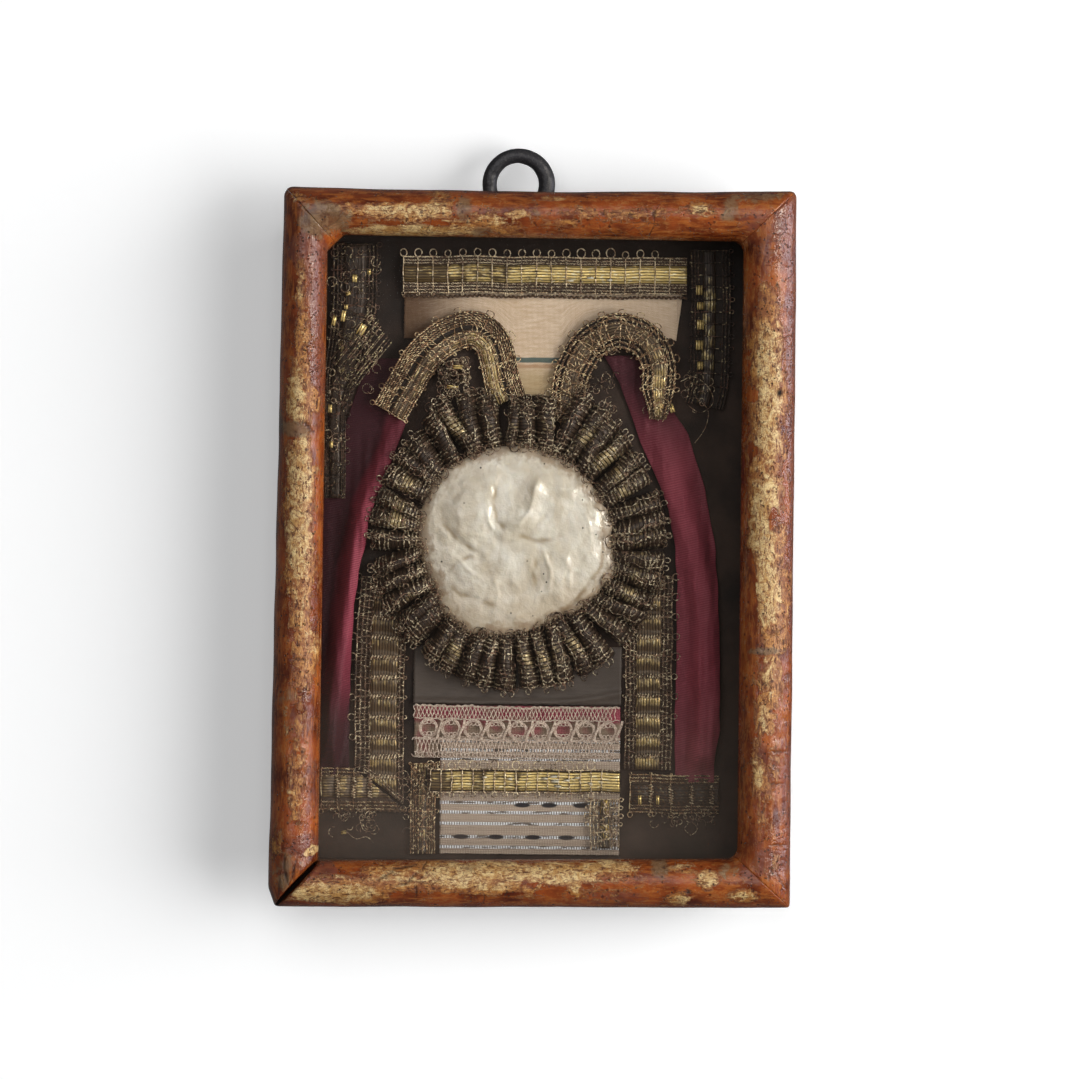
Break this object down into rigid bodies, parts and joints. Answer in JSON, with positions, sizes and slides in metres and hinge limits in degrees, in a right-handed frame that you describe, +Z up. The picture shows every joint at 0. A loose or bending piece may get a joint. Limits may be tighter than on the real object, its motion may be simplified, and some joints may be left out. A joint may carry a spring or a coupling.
{
  "type": "reliquary",
  "caption": "Small glazed hanging reliquary: a moulded wax disc framed by metal-thread braids and crimson silk in a shallow wooden box with a worn gilt frame and an iron ring.",
  "frame": {"origin": "centre of the flat back of the box, where it lies against the wall", "axes": "+Y from the object into the wall, +Z up along the long side of the frame, +X to the viewer's right when the glass is looked at"},
  "size_m": [0.1019, 0.022, 0.1487],
  "materials": {
    "lacquered_wood": "red-brown lacquer over gesso with worn gilding, glossy and crackled",
    "case_wood": "bare aged softwood, stained dark",
    "clear_glass": "clear old glass with a faint haze",
    "black_iron": "black wrought iron, satin",
    "dark_lining": "dark brown lining, matt",
    "cream_cloth": "plain-woven cream linen with a thin blue-green stripe",
    "grey_cloth": "dark grey cloth, matt",
    "pink_cloth": "rose ribbon, satin",
    "thread_lace": "pale pinkish thread lace, matt",
    "silver_brocade": "ribbed ribbon with silver thread",
    "metal_braid": "tarnished gilt wire braid",
    "bright_braid": "bright gilt strip braid",
    "crimson_silk": "crimson silk twill, satin",
    "wax": "old cream wax, soft gloss"
  },
  "bodies": {
    "root": {"rail_top": "lacquered_wood", "rail_right": "lacquered_wood", "rail_bottom": "lacquered_wood", "rail_left": "lacquered_wood", "case_left": "case_wood", "case_right": "case_wood", "case_bottom": "case_wood", "case_top": "case_wood", "backboard": "case_wood", "glass_pane": "clear_glass", "ground_card": "dark_lining", "hanging_ring": "black_iron", "ring_staple": "black_iron", "cream_cloth": "cream_cloth", "grey_cloth": "grey_cloth", "pink_ribbon": "pink_cloth", "brocade_ribbon": "silver_brocade", "lace_strip": "thread_lace", "braid_top": "bright_braid", "braid_upper_left": "metal_braid", "braid_upper_right": "metal_braid", "arch_left": "metal_braid", "arch_right": "metal_braid", "braid_curl": "metal_braid", "braid_side_left": "metal_braid", "braid_side_right": "bright_braid", "braid_bottom_left": "metal_braid", "braid_bottom_right": "metal_braid", "gold_band": "bright_braid", "braid_short_left": "metal_braid", "braid_short_right": "metal_braid", "drape_left": "crimson_silk", "drape_right": "crimson_silk", "ruffle": "metal_braid", "wax_disc": "wax"}
  },
  "joints": []
}
